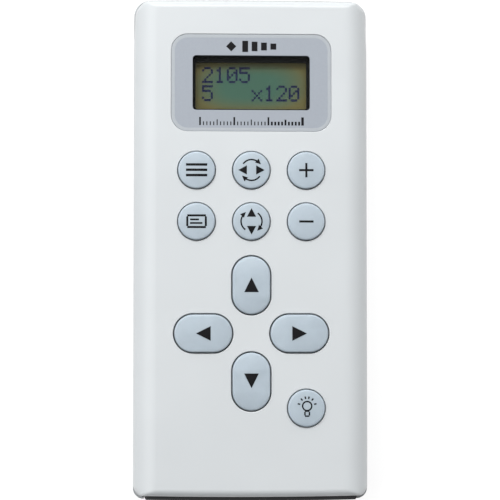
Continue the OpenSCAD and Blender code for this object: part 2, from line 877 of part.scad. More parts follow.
// Six spring wires: along the roof, down into the mouth, and up through the board
module guide_port_contacts() {
    roof = rj_mouth_z + rj_mouth_h + 0.1;
    start_y = rj_face_y + 2;
    color(GOLD) for (p = wires()) {
        slab(p.x, wire_t, start_y, p.y + wire_t / 2, roof, roof + wire_t);
        slab(p.x, wire_t, p.y - wire_t / 2, p.y + wire_t / 2, roof, board_top + 0.6);
        translate([p.x, start_y + wire_t / 2, roof + wire_t / 2]) rotate([-16, 0, 0])
            slab(0, wire_t, -wire_t / 2, 8, -wire_t / 2, wire_t / 2);
    }
}

// ---------- fasteners ----------

module case_screws() {
    color(STEEL) at_all(case_screws_at) screw(2.3, 1.8, case_shank_r, head_seat_z, 11);
}

module board_screws() {
    color(STEEL) at_all(board_screws_at) screw(1.9, 1.4, small_shank_r, board_bottom, 4.8);
}

module display_screws() {
    color(STEEL) at_all(display_screws_at) screw(1.9, 1.4, small_shank_r, lcd_board_bottom, 5);
}

// ---------- nodes ----------

front_shell();
rear_shell();
socket_panel();
display_panel();
display_window();
display_gasket();
lcd_frame();
lcd_glass();
lcd_backlight();
lcd_elastomers();
lcd_board();
lcd_ribbon();
main_board();
processor();
voltage_regulator();
board_components();
keypad_mat();
mount_port_shell();
mount_port_insulator();
mount_port_pins();
mount_port_jack_nuts();
guide_port_housing();
guide_port_contacts();
case_screws();
board_screws();
display_screws();
rear_label();
for (k = KEYS) {
    key_cap(k);
    key_contact(k);
    key_web(k);
}
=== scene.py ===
"""The looks of a telescope mount's hand controller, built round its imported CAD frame.

Shapes are drawn in millimetres in the frame's own axes: +Z out of the front face, +Y
towards the display, and the rear face at Z = 0. Shape.build() turns them into metres.
"""

import math

import bmesh
import bpy
from mathutils import Matrix, Vector, geometry

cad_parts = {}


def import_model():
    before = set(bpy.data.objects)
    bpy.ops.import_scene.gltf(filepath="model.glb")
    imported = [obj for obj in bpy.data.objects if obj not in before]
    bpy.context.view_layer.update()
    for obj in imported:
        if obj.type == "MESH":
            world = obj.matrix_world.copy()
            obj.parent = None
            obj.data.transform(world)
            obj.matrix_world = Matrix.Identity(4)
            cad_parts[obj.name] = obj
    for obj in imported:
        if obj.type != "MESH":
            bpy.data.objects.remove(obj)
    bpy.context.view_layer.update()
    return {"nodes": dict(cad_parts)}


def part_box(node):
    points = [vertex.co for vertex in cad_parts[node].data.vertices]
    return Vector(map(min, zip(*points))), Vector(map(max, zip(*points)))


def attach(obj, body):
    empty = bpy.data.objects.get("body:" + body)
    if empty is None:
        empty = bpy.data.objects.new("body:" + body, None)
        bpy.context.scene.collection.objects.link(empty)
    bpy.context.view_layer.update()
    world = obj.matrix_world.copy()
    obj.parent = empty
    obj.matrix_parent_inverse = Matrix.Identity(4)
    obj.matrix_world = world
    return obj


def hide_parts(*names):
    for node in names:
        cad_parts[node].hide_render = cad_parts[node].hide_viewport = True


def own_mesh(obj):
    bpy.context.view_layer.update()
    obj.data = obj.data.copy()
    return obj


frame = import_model()
MM = 0.001
WELD = 0.002  # points nearer than this, in millimetres, are merged

# ---------- sizes, from the frame where it has them ----------


def box_mm(node):
    low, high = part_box(node)
    return low / MM, high / MM


FRONT = box_mm("front_shell")
REAR = box_mm("rear_shell")
CASE_W = 2 * FRONT[1].x
FRONT_L = 2 * FRONT[1].y
REAR_L = 2 * REAR[1].y
FACE_Z = FRONT[1].z
LIP_H, LIP_INSET, LIP_ROOM = 1.1, 1.3, 0.1
FRONT_SEAM_R, REAR_SEAM_R = 0.3, 0.08
SEAM_Z = REAR[1].z - LIP_H
SEAM_GAP = 0.3
SEAM_GROOVE = {"start": 0.12, "end": 0.34, "draft": 0.02, "depth": 0.35}
WALL = 2.4
CEILING_Z = FACE_Z - WALL
FRONT_SIDE_R, FRONT_END_R = 7.0, 2.2
REAR_SIDE_R, REAR_END_R = 8.0, 4.0
CORNER_R = {1: 5.0, -1: 3.0}
ARCH_R = {1: 2400.0, -1: 1400.0}
BLEND_POWER = 3.0
SMOOTH_ANGLE = 35
FILLET_STEPS = 14
COLUMNS = 36
ROWS = 12

KEY_NAMES = [
    "mount_key", "reverse_x_key", "plus_key", "display_key", "reverse_y_key", "minus_key",
    "up_key", "left_key", "right_key", "down_key", "light_key",
]
INK_T = 0.03
CAP_SWELL = 0.1
KEY_GAP, OVAL_KEY_GAP = 0.2, 0.32
KEY_EDGE_R = 0.55
KEY_CROWN_R = 45.0
LONG_CROWN_R = 85.0
EDGE_STEPS, CROWN_STEPS = 8, 9
COLLAR_Z = FACE_Z - 3.8
COLLAR_T = 0.9
RIM_R = 0.3
HALF_TURN = 40


class Key:
    """A key's place and outline, read from its CAD node: ends of radius r, run apart."""

    def __init__(self, name):
        low, high = box_mm(name)
        self.name = name
        self.x, self.y = (low.x + high.x) / 2, (low.y + high.y) / 2
        wide, tall = high.x - low.x, high.y - low.y
        self.r = min(wide, tall) / 2 + CAP_SWELL
        self.run = abs(wide - tall)
        self.sideways = wide > tall
        self.gap = OVAL_KEY_GAP if self.run > 1 else KEY_GAP
        self.low_z, self.top_z = low.z, high.z - INK_T

    def loop(self, offset, z):
        """The outline grown by offset, at height z."""
        points = []
        for end in (1, -1):
            for i in range(HALF_TURN):
                a = math.pi * ((i + 0.5) / HALF_TURN + (0 if end > 0 else 1))
                x = (self.r + offset) * math.cos(a)
                y = (self.r + offset) * math.sin(a) + end * self.run / 2
                if self.sideways:
                    x, y = -y, x
                points.append((self.x + x, self.y + y, z))
        return points

    def fall(self, x, y):
        """How far a direction key's top drops along its length."""
        along = x if self.sideways else y
        return along * along / (2 * LONG_CROWN_R) if self.run > 1 else 0.0

    def crown(self, x, y):
        """Height of the domed top at a point given from the key's middle."""
        across, along = (y, x) if self.sideways else (x, y)
        past = max(0.0, abs(along) - self.run / 2)
        return self.top_z - (across ** 2 + past ** 2) / (2 * KEY_CROWN_R) - self.fall(x, y)


KEYS = [Key(name) for name in KEY_NAMES]

# ---------- mesh building ----------


class Shape:
    """A mesh in the making: rings of points in millimetres, bridged into faces."""

    def __init__(self):
        self.points = []
        self.faces = []
        self.slots = []
        self.slot = 0

    def ring(self, points):
        first = len(self.points)
        self.points += [tuple(p) for p in points]
        return list(range(first, len(self.points)))

    def face(self, corners):
        self.faces.append(corners)
        self.slots.append(self.slot)

    def bridge(self, a, b):
        count = len(a)
        for i in range(count):
            j = (i + 1) % count
            self.face((a[i], a[j], b[j], b[i]))

    def loft(self, loops, start=None):
        """Bridges a list of loops in turn, and returns the first and last rings."""
        rings = [self.ring(loop) for loop in loops]
        if start is not None:
            rings.insert(0, start)
        for a, b in zip(rings, rings[1:]):
            self.bridge(a, b)
        return rings[0], rings[-1]

    def fill(self, outer, holes=()):
        """Closes a flat ring, leaving its holes open."""
        rings = [outer, *holes]
        flat = [i for ring in rings for i in ring]
        loops = [[Vector(self.points[i]) for i in ring] for ring in rings]
        for corners in geometry.tessellate_polygon(loops):
            self.face(tuple(flat[i] for i in corners))

    def build(self, name, looks, body, angle=SMOOTH_ANGLE):
        mesh = bpy.data.meshes.new(name)
        mesh.from_pydata([Vector(point) * MM for point in self.points], [], self.faces)
        mesh.polygons.foreach_set("material_index", self.slots)
        work = bmesh.new()
        work.from_mesh(mesh)
        bmesh.ops.remove_doubles(work, verts=work.verts, dist=WELD * MM)
        loose = [v for v in work.verts if not v.link_faces]
        bmesh.ops.delete(work, geom=loose, context="VERTS")
        bmesh.ops.recalc_face_normals(work, faces=work.faces)
        work.to_mesh(mesh)
        work.free()
        return piece(name, mesh, looks, body, angle)


def piece(name, mesh, looks, body, angle=SMOOTH_ANGLE):
    """An object that rides on a body, smooth but for its edges sharper than angle."""
    for look in looks:
        mesh.materials.append(look)
    obj = bpy.data.objects.new(name, mesh)
    bpy.context.scene.collection.objects.link(obj)
    smooth(obj, angle)
    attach(obj, body)
    return obj


def smooth(obj, angle):
    obj.data.polygons.foreach_set("use_smooth", [True] * len(obj.data.polygons))
    obj.data.set_sharp_from_angle(angle=math.radians(angle))
    weighted = obj.modifiers.new("weighted", "WEIGHTED_NORMAL")
    weighted.keep_sharp = True
    apply_modifiers(obj)


def apply_modifiers(obj):
    graph = bpy.context.evaluated_depsgraph_get()
    mesh = bpy.data.meshes.new_from_object(obj.evaluated_get(graph), depsgraph=graph)
    obj.modifiers.clear()
    old = obj.data
    obj.data = mesh
    mesh.name = old.name
    bpy.data.meshes.remove(old)


def rounded_loop(w, h, r, x, y, z, steps=10):
    """A rectangle with round corners about (x, y), at height z."""
    points = []
    for quarter, (sx, sy) in enumerate([(1, 1), (-1, 1), (-1, -1), (1, -1)]):
        cx, cy = x + sx * (w / 2 - r), y + sy * (h / 2 - r)
        for i in range(steps + 1):
            a = math.pi / 2 * (quarter + i / steps)
            points.append((cx + r * math.cos(a), cy + r * math.sin(a), z))
    return points


def quarter_steps(steps):
    """Pairs that run round a quarter circle of radius 1: (in from the edge, down)."""
    angles = [math.pi / 2 * i / steps for i in range(steps + 1)]
    return [(1 - math.cos(a), 1 - math.sin(a)) for a in angles]


# ---------- case ----------


def cover(shape, w, l, side_r, end_r, face_z, up):
    """Half a case's outer skin, without its flat middle: (flat's ring, outer edge's ring)."""
    quarter = quarter_steps(FILLET_STEPS)
    columns = [(-w / 2 + side_r * t, side_r * d) for t, d in quarter]
    flat_w = w - 2 * side_r
    columns += [(-flat_w / 2 + flat_w * i / COLUMNS, 0.0) for i in range(1, COLUMNS)]
    columns += [(-x, d) for x, d in reversed(columns[:FILLET_STEPS + 1])]
    rows = [(-1, 1.0, end_r * t, end_r * d) for t, d in quarter]
    rows += [(1, -1 + 2 * i / ROWS, end_r, 0.0) for i in range(1, ROWS)]
    rows += [(1, f, t, d) for _, f, t, d in reversed(rows[:FILLET_STEPS + 1])]
    grid = []
    for end, share, inset, drop_y in rows:
        line = []
        for x, drop_x in columns:
            side = end if share >= 0 else -end
            edge = l / 2 - x * x / (2 * ARCH_R[side])
            y = end * share * (edge - inset)
            drop = (drop_x ** BLEND_POWER + drop_y ** BLEND_POWER) ** (1 / BLEND_POWER)
            line.append((*round_corner(x, y, w, edge, side), face_z - up * drop))
        grid.append(shape.ring(line))
    lows = {FILLET_STEPS, len(columns) - 1 - FILLET_STEPS}
    first, last = min(lows), max(lows)
    bottom, top = FILLET_STEPS, len(rows) - 1 - FILLET_STEPS
    for j in range(len(rows) - 1):
        for i in range(len(columns) - 1):
            if not (first <= i < last and bottom <= j < top):
                shape.face((grid[j][i], grid[j][i + 1], grid[j + 1][i + 1], grid[j + 1][i]))
    return (rim_of(grid, first, last, bottom, top),
            rim_of(grid, 0, len(columns) - 1, 0, len(rows) - 1))


def round_corner(x, y, w, edge, side):
    """Moves a point of a square corner in plan onto a round one."""
    r = CORNER_R[side]
    a = (abs(x) - (w / 2 - r)) / r
    b = (abs(y) - (edge - r)) / r
    if a <= 0 or b <= 0:
        return x, y
    new_x = w / 2 - r + r * a * math.sqrt(1 - b * b / 2)
    new_y = edge - r + r * b * math.sqrt(1 - a * a / 2)
    return math.copysign(new_x, x), math.copysign(new_y, y)


def rim_of(grid, first, last, bottom, top):
    ring = [grid[bottom][i] for i in range(first, last)]
    ring += [grid[j][last] for j in range(bottom, top)]
    ring += [grid[top][i] for i in range(last, first, -1)]
    ring += [grid[j][first] for j in range(top, bottom, -1)]
    return ring


def shrunk(points, w, l, steps):
    """Copies of an outline, each inset and at its own height."""
    return [[(x * (1 - 2 * inset / w), y * (1 - 2 * inset / l), z) for x, y, _ in points]
            for inset, z in steps]


def edge_round(r, z, up):
    """A small round at the foot of a wall: (inset, height) pairs that end at height z."""
    return [(r * t, z + up * r * d) for t, d in
            [(0.0, 1.0), (0.08, 0.6), (0.3, 0.3), (0.6, 0.08), (1.0, 0.0)]]


SOCKET_OPENING = {"half_w": 31.25, "low_z": 3.45, "high_z": 21.75, "low_r": 5.15, "high_r": 1.0}
SOCKET_OPENING_STEPS = 8
SOCKET_OPENING_DEPTH = WALL + 4
PAST = 5  # how far a cutting block runs beyond what it cuts


def solid(loops):
    """A closed block lofted through loops, to add to a shell or cut from it."""
    shape = Shape()
    for ring in shape.loft(loops):
        shape.face(tuple(ring))
    mesh = bpy.data.meshes.new("tool")
    mesh.from_pydata([Vector(point) * MM for point in shape.points], [], shape.faces)
    work = bmesh.new()
    work.from_mesh(mesh)
    bmesh.ops.recalc_face_normals(work, faces=work.faces)
    work.to_mesh(mesh)
    work.free()
    obj = bpy.data.objects.new("tool", mesh)
    bpy.context.scene.collection.objects.link(obj)
    return obj


def combine(obj, operation, tool):
    """Adds a block to an object or cuts it away. The block itself is then removed."""
    boolean = obj.modifiers.new("combine", "BOOLEAN")
    boolean.operation = operation
    boolean.solver = "EXACT"
    boolean.object = tool
    apply_modifiers(obj)
    bpy.data.objects.remove(tool)


def socket_opening():
    """The block that cuts the socket panel's opening out of both shells."""
    o = SOCKET_OPENING
    corners = [(1, o["high_z"], o["high_r"], 0), (-1, o["high_z"], o["high_r"], 1),
               (-1, o["low_z"], o["low_r"], 2), (1, o["low_z"], o["low_r"], 3)]
    outline = []
    for sx, z, r, quarter in corners:
        cx = sx * (o["half_w"] - r)
        cz = z - r if quarter < 2 else z + r
        for i in range(SOCKET_OPENING_STEPS + 1):
            a = math.pi / 2 * (quarter + i / SOCKET_OPENING_STEPS)
            outline.append((cx + r * math.cos(a), cz + r * math.sin(a)))
    ends = (-REAR_L / 2 - PAST, -FRONT_L / 2 + SOCKET_OPENING_DEPTH)
    return solid([[(x, y, z) for x, z in outline] for y in ends])


def key_hole(shape, key):
    """A key's hole with its rounded rim and collar: (ring in the face, ring in the ceiling)."""
    steps = [(key.gap + RIM_R * d, FACE_Z - RIM_R * t) for t, d in quarter_steps(5)]
    steps += [(key.gap, COLLAR_Z), (key.gap + COLLAR_T, COLLAR_Z), (key.gap + COLLAR_T, CEILING_Z)]
    return shape.loft([key.loop(offset, z) for offset, z in steps])


PANEL = box_mm("display_panel")
WINDOW = box_mm("display_window")
PANEL_R = 4.8
PANEL_GAP = 0.05
PANEL_Y = (PANEL[0].y + PANEL[1].y) / 2
PANEL_W, PANEL_H = PANEL[1].x - PANEL[0].x, PANEL[1].y - PANEL[0].y
WINDOW_Y = (WINDOW[0].y + WINDOW[1].y) / 2
LENS_W, LENS_H = WINDOW[1].x - WINDOW[0].x, WINDOW[1].y - WINDOW[0].y
OPENING_W, OPENING_H, OPENING_R = 34.3, 16.0, 1.0
VIEW_W, VIEW_H = 32.6, 13.9
VIEW_Y = WINDOW_Y - 0.6


PANEL_SEAT_RIM = 0.2
LENS_SEAT_R = 1.2
LENS_SEAT_GAP = 0.3
GASKET_ROOM = 0.6
DISPLAY_BOSS = {"rim_x": 5, "rim_y": 4, "r": 2, "t": 1.9}


def display_hole(shape):
    """The stepped opening behind the panel: (ring in the face, ring in the ceiling)."""
    rim, boss = PANEL_SEAT_RIM, DISPLAY_BOSS
    w, h, r = PANEL_W + 2 * PANEL_GAP, PANEL_H + 2 * PANEL_GAP, PANEL_R + PANEL_GAP
    loops = [rounded_loop(w + 2 * rim * d, h + 2 * rim * d, r + rim * d, 0, PANEL_Y, FACE_Z - rim * t)
             for t, d in quarter_steps(4)]
    loops.append(rounded_loop(w, h, r, 0, PANEL_Y, PANEL[0].z))

    def step(w, h, r, *heights):
        loops.extend(rounded_loop(w, h, r, 0, WINDOW_Y, z) for z in heights)

    lens_z, boss_z = WINDOW[0].z, WINDOW[0].z - boss["t"]
    step(LENS_W + LENS_SEAT_GAP, LENS_H + LENS_SEAT_GAP, LENS_SEAT_R, PANEL[0].z, lens_z)
    step(OPENING_W + GASKET_ROOM, OPENING_H + GASKET_ROOM, LENS_SEAT_R, lens_z, boss_z)
    step(LENS_W + boss["rim_x"], LENS_H + boss["rim_y"], boss["r"], boss_z, CEILING_Z)
    return shape.loft(loops)


# How the walls curve into the front's ceiling and the rear's floor: (inset, height).
FRONT_ROOF = [(WALL, 20.6), (2.9, 21.8), (3.9, 22.4), (5.2, CEILING_Z)]
REAR_FLOOR = [(WALL, 8.0), (3.0, 5.2), (4.8, 3.2), (7.5, WALL)]


def front_shell(looks):
    shape = Shape()
    flat, edge = cover(shape, CASE_W, FRONT_L, FRONT_SIDE_R, FRONT_END_R, FACE_Z, 1)
    outline = [shape.points[i] for i in edge]
    seam = SEAM_Z + SEAM_GAP
    rabbet_z = SEAM_Z + LIP_H + LIP_ROOM
    steps = edge_round(FRONT_SEAM_R, seam, 1)
    steps += [(LIP_INSET, seam), (LIP_INSET, rabbet_z), (WALL, rabbet_z)] + FRONT_ROOF
    _, ceiling = shape.loft(shrunk(outline, CASE_W, FRONT_L, steps), edge)
    holes = [key_hole(shape, key) for key in KEYS] + [display_hole(shape)]
    shape.fill(flat, [face for face, _ in holes])
    shape.fill(ceiling, [inner for _, inner in holes])
    obj = shape.build("front_shell_skin", looks, "case")
    combine(obj, "DIFFERENCE", socket_opening())
    smooth(obj, SMOOTH_ANGLE)
    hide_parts("front_shell")
    return obj


def islands(node):
    """The middles in plan, in millimetres, of a CAD node's separate solids."""
    work = bmesh.new()
    work.from_mesh(frame["nodes"][node].data)
    bmesh.ops.remove_doubles(work, verts=work.verts, dist=0.005 * MM)
    left, middles = set(work.verts), []
    while left:
        todo, seen = [left.pop()], []
        while todo:
            vert = todo.pop()
            seen.append(vert.co.copy())
            near = {edge.other_vert(vert) for edge in vert.link_edges} & left
            left -= near
            todo += near
        xs, ys = [p.x for p in seen], [p.y for p in seen]
        middles.append(((min(xs) + max(xs)) / 2 / MM, (min(ys) + max(ys)) / 2 / MM))
    work.free()
    return sorted(middles)


CASE_SCREWS = islands("case_screws")


def round_loop(x, y, r, z, steps=40):
    turn = [2 * math.pi * i / steps for i in range(steps)]
    return [(x + r * math.cos(a), y + r * math.sin(a), z) for a in turn]


SCREW_WELL = {"r": 2.6, "seat_z": 10.0, "hole_r": 1.5, "boss_r": 3.0, "sink": 0.1, "below": 0.05}


def screw_wells(shell):
    """Gives a shell its screw bosses, each with a well from the rear face up to a seat."""
    w = SCREW_WELL
    steps = [(w["r"], -PAST), (w["r"], w["seat_z"]), (w["hole_r"], w["seat_z"]),
             (w["hole_r"], SEAM_Z + PAST)]
    for x, y in CASE_SCREWS:
        boss = [round_loop(x, y, w["boss_r"], z) for z in (WALL - w["sink"], SEAM_Z - w["below"])]
        combine(shell, "UNION", solid(boss))
    for x, y in CASE_SCREWS:
        combine(shell, "DIFFERENCE", solid([round_loop(x, y, r, z) for r, z in steps]))


LABEL = box_mm("rear_label")
LABEL_ROOM, LABEL_R = 0.4, 1.7


def seam_ledge():
    """The rear shell's top edge as (inset, height): its round, a shadow groove and the ledge."""
    start, end, draft = (SEAM_GROOVE[name] for name in ("start", "end", "draft"))
    low = SEAM_Z - SEAM_GROOVE["depth"]
    groove = [(start, SEAM_Z), (start + draft, low), (end - draft, low), (end, SEAM_Z)]
    return edge_round(REAR_SEAM_R, SEAM_Z, -1) + groove


def rear_shell(looks):
    shape = Shape()
    flat, edge = cover(shape, CASE_W, REAR_L, REAR_SIDE_R, REAR_END_R, 0.0, -1)
    outline = [shape.points[i] for i in edge]
    ledge = shrunk(outline, CASE_W, REAR_L, seam_ledge())
    lip = [(LIP_INSET + 0.05, SEAM_Z), (LIP_INSET + 0.1, SEAM_Z + LIP_H), (WALL, SEAM_Z + LIP_H)]
    end_step = (REAR_L - FRONT_L) / 2
    inner = [[(x, math.copysign(abs(y) - end_step, y), z) for x, y, z in loop]
             for loop in shrunk(outline, CASE_W, REAR_L, lip + REAR_FLOOR)]
    _, floor = shape.loft(ledge + inner, edge)
    label_y = (LABEL[0].y + LABEL[1].y) / 2
    w, h = LABEL[1].x - LABEL[0].x + LABEL_ROOM, LABEL[1].y - LABEL[0].y + LABEL_ROOM
    mouth, bed = shape.loft([rounded_loop(w, h, LABEL_R, 0, label_y, z) for z in (0.0, LABEL[1].z)])
    shape.fill(bed)
    shape.fill(flat, [mouth])
    shape.fill(floor)
    obj = shape.build("rear_shell_skin", looks, "case")
    screw_wells(obj)
    combine(obj, "DIFFERENCE", socket_opening())
    smooth(obj, SMOOTH_ANGLE)
    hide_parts("rear_shell")
    return obj


# ---------- materials ----------


class Look:
    """A material in the making. Object coordinates are the frame's own, in metres."""

    def __init__(self, name, color, roughness, **inputs):
        self.material = bpy.data.materials.new(name)
        self.material.use_nodes = True
        self.tree = self.material.node_tree
        self.tree.nodes.clear()
        self.shader = self.node("ShaderNodeBsdfPrincipled")
        self.output = self.node("ShaderNodeOutputMaterial")
        self.join(self.shader.outputs[0], self.output.inputs["Surface"])
        self.place = self.node("ShaderNodeTexCoord").outputs["Object"]
        self.set("Base Color", color)
        self.set("Roughness", roughness)
        for key, value in inputs.items():
            self.set(key.replace("_", " "), value)

    def node(self, kind, **settings):
        made = self.tree.nodes.new(kind)
        for key, value in settings.items():
            setattr(made, key, value)
        return made

    def join(self, source, target):
        self.tree.links.new(source, target)

    def feed(self, socket, value):
        if isinstance(value, bpy.types.NodeSocket):
            self.join(value, socket)
        elif isinstance(value, tuple) and len(value) == 3 and socket.type == "RGBA":
            socket.default_value = (*value, 1)
        else:
            socket.default_value = value

    def set(self, name, value):
        self.feed(self.shader.inputs[name], value)

    def noise(self, size, detail=3.0, stretch=(1, 1, 1), rough=0.55):
        """Noise with features about size millimetres across, from 0 to 1."""
        mapping = self.node("ShaderNodeMapping")
        self.join(self.place, mapping.inputs["Vector"])
        mapping.inputs["Scale"].default_value = stretch
        made = self.node("ShaderNodeTexNoise")
        self.join(mapping.outputs[0], made.inputs["Vector"])
        made.inputs["Scale"].default_value = 1 / (size * MM)
        made.inputs["Detail"].default_value = detail
        made.inputs["Roughness"].default_value = rough
        return made.outputs["Fac"]

    def level(self, value, low, high, to_low=0.0, to_high=1.0):
        """Stretches the span low to high of a value over to_low to to_high."""
        made = self.node("ShaderNodeMapRange")
        self.feed(made.inputs["Value"], value)
        for name, number in zip(("From Min", "From Max", "To Min", "To Max"),
                                (low, high, to_low, to_high)):
            made.inputs[name].default_value = number
        return made.outputs[0]

    def math(self, operation, a, b=0.0):
        made = self.node("ShaderNodeMath", operation=operation)
        self.feed(made.inputs[0], a)
        self.feed(made.inputs[1], b)
        return made.outputs[0]

    def mix(self, share, a, b):
        made = self.node("ShaderNodeMix", data_type="RGBA")
        self.feed(made.inputs["Factor"], share)
        self.feed(made.inputs["A"], a)
        self.feed(made.inputs["B"], b)
        return made.outputs["Result"]

    def axis(self, name):
        split = self.node("ShaderNodeSeparateXYZ")
        self.join(self.place, split.inputs[0])
        return split.outputs[name]

    def bump(self, *layers):
        """Bump from (height, depth in millimetres) layers, one on top of the other."""
        normal = None
        for height, depth in layers:
            made = self.node("ShaderNodeBump")
            made.inputs["Distance"].default_value = depth * MM
            self.join(height, made.inputs["Height"])
            if normal is not None:
                self.join(normal, made.inputs["Normal"])
            normal = made.outputs[0]
        self.join(normal, self.shader.inputs["Normal"])


def moulded(name, color, roughness, grain=0.22, grain_depth=0.004, scuff=0.02, **inputs):
    """Injection-moulded plastic: fine spark grain, slow colour drift, faint scuffs."""
    look = Look(name, color, roughness, **inputs)
    drift = look.level(look.noise(28, 2), 0.3, 0.7)
    darker = tuple(c * 0.965 for c in color)
    tone = look.mix(drift, darker, color)
    scratches = look.level(look.noise(1.6, 5, (1, 0.06, 1), 0.7), 0.62, 0.74)
    worn = look.math("MULTIPLY", scratches, look.level(look.noise(14, 2), 0.45, 0.7))
    look.set("Base Color", look.mix(look.math("MULTIPLY", worn, scuff * 2), tone,
                                    tuple(c * 0.8 for c in color)))
    patchy = look.level(look.noise(9, 4), 0.25, 0.75, roughness - 0.035, roughness + 0.045)
    look.set("Roughness", look.math("ADD", patchy, look.math("MULTIPLY", worn, scuff)))
    look.bump((look.noise(grain, 2), grain_depth), (look.noise(6, 2), 0.003))
    return look.material


def silicone(name, color):
    """Translucent moulded silicone: soft glow, fine tooth, and a little dust in it."""
    look = Look(name, color, 0.42, Subsurface_Weight=0.35, Subsurface_Scale=1.4 * MM,
                Specular_IOR_Level=0.42)
    look.shader.inputs["Subsurface Radius"].default_value = (1.0, 1.0, 1.1)
    cloudy = look.level(look.noise(4.5, 3), 0.3, 0.7)
    tone = look.mix(cloudy, tuple(c * 0.95 for c in color), tuple(min(1, c * 1.03) for c in color))
    specks = look.level(look.noise(0.35, 1), 0.74, 0.8)
    look.set("Base Color", look.mix(look.math("MULTIPLY", specks, 0.12), tone, (0.9, 0.9, 0.88)))
    look.set("Roughness", look.level(look.noise(1.1, 4), 0.3, 0.7, 0.37, 0.48))
    look.bump((look.noise(0.16, 2), 0.005), (look.noise(3.2, 2), 0.006))
    return look.material


def printed(name, color, roughness=0.35, grain=0.5, shine=0.5):
    """Screen-printed ink: a slight orange peel and a slight mottle."""
    look = Look(name, color, roughness, Specular_IOR_Level=shine)
    mottle = look.level(look.noise(grain, 4), 0.3, 0.7)
    look.set("Base Color", look.mix(mottle, tuple(c * 0.96 for c in color), color))
    look.set("Roughness", look.level(look.noise(2, 3), 0.3, 0.7, roughness - 0.03, roughness + 0.04))
    look.bump((look.noise(0.3, 3), 0.0015))
    return look.material


def metal(name, color, roughness, brush=(1, 1, 1), size=0.5):
    """Plated metal: brushed or tumbled along one axis, with dulled patches."""
    look = Look(name, color, roughness, Metallic=1.0)
    lines = look.noise(size, 4, brush, 0.65)
    dull = look.level(look.noise(3, 3), 0.4, 0.7)
    look.set("Base Color", look.mix(dull, color, tuple(c * 0.82 for c in color)))
    look.set("Roughness", look.math("ADD", look.level(lines, 0.3, 0.7, roughness - 0.05, roughness + 0.1),
                                    look.math("MULTIPLY", dull, 0.08)))
    look.bump((lines, 0.006))
    return look.material


def circuit_board():
    """Green solder mask over copper tracks, with a faint glass weave."""
    look = Look("board", (0.012, 0.11, 0.045), 0.3, Coat_Weight=0.3, Coat_Roughness=0.15)
    wave = look.node("ShaderNodeTexBrick")
    mapping = look.node("ShaderNodeMapping")
    look.join(look.place, mapping.inputs["Vector"])
    mapping.inputs["Rotation"].default_value = (0, 0, math.radians(90))
    look.join(mapping.outputs[0], wave.inputs["Vector"])
    wave.inputs["Scale"].default_value = 1 / (2.4 * MM)
    wave.inputs["Mortar Size"].default_value = 0.09
    wave.inputs["Mortar Smooth"].default_value = 0.1
    tracks = look.math("MULTIPLY", wave.outputs["Fac"], look.level(look.noise(7, 1), 0.42, 0.5))
    look.set("Base Color", look.mix(tracks, (0.012, 0.11, 0.045), (0.03, 0.2, 0.07)))
    look.set("Roughness", look.level(look.noise(1.5, 3), 0.3, 0.7, 0.24, 0.38))
    look.bump((tracks, 0.03), (look.noise(0.3, 2), 0.004))
    return look.material


def foam():
    look = Look("gasket_foam", (0.006, 0.006, 0.006), 0.9, Specular_IOR_Level=0.1)
    cells = look.node("ShaderNodeTexVoronoi")
    look.join(look.place, cells.inputs["Vector"])
    cells.inputs["Scale"].default_value = 1 / (0.25 * MM)
    look.set("Base Color", look.mix(cells.outputs["Distance"], (0.003, 0.003, 0.003),
                                    (0.012, 0.012, 0.012)))
    look.bump((cells.outputs["Distance"], 0.05))
    return look.material


def acrylic():
    """A clear window, coated against glare. Light goes straight through to what is behind."""
    look = Look("window_acrylic", (0.93, 0.96, 0.95), 0.04, Transmission_Weight=1.0, IOR=1.2)
    look.set("Roughness", look.level(look.noise(5, 4), 0.3, 0.8, 0.0, 0.02))
    clear = look.node("ShaderNodeBsdfTransparent")
    clear.inputs["Color"].default_value = (0.93, 0.96, 0.95, 1)
    choose = look.node("ShaderNodeMixShader")
    ray = look.node("ShaderNodeLightPath")
    straight = look.math("MAXIMUM", ray.outputs["Is Shadow Ray"], ray.outputs["Is Diffuse Ray"])
    look.join(straight, choose.inputs[0])
    look.join(look.shader.outputs[0], choose.inputs[1])
    look.join(clear.outputs[0], choose.inputs[2])
    look.join(choose.outputs[0], look.output.inputs["Surface"])
    return look.material


def crystal_cell():
    """The display's face: green in the middle, olive to its edges, with a fine streaky grain."""
    look = Look("lcd_cell", (0.05, 0.09, 0.06), 0.28, Specular_IOR_Level=0.05)
    x = look.math("DIVIDE", look.axis("X"), VIEW_W / 2 * MM)
    y = look.math("DIVIDE", look.math("SUBTRACT", look.axis("Y"), VIEW_Y * MM), VIEW_H / 2 * MM)
    reach = look.math("ADD", look.math("POWER", look.math("ABSOLUTE", x), 3.0),
                      look.math("POWER", look.math("ABSOLUTE", y), 3.0))
    tone = look.mix(look.level(reach, 0.1, 1.1), (0.053, 0.105, 0.077), (0.125, 0.103, 0.041))
    grain = look.level(look.noise(0.12, 2, (1, 0.3, 1)), 0.3, 0.7, 0.94, 1.05)
    scale = look.node("ShaderNodeVectorMath", operation="SCALE")
    look.join(tone, scale.inputs[0])
    look.join(grain, scale.inputs["Scale"])
    look.set("Base Color", scale.outputs[0])
    look.set("Roughness", look.level(look.noise(3, 3), 0.3, 0.7, 0.29, 0.38))
    look.bump((look.noise(0.2, 2), 0.002))
    return look.material


def foil_label():
    look = Look("rear_foil", (0.5, 0.51, 0.53), 0.4, Metallic=0.6)
    brushed = look.noise(0.25, 4, (0.02, 1, 1), 0.6)
    lines = look.level(brushed, 0.3, 0.7)
    look.set("Base Color", look.mix(lines, (0.44, 0.45, 0.47), (0.58, 0.59, 0.61)))
    look.set("Roughness", look.level(brushed, 0.3, 0.7, 0.34, 0.48))
    look.bump((brushed, 0.004), (look.noise(5, 2), 0.02))
    return look.material


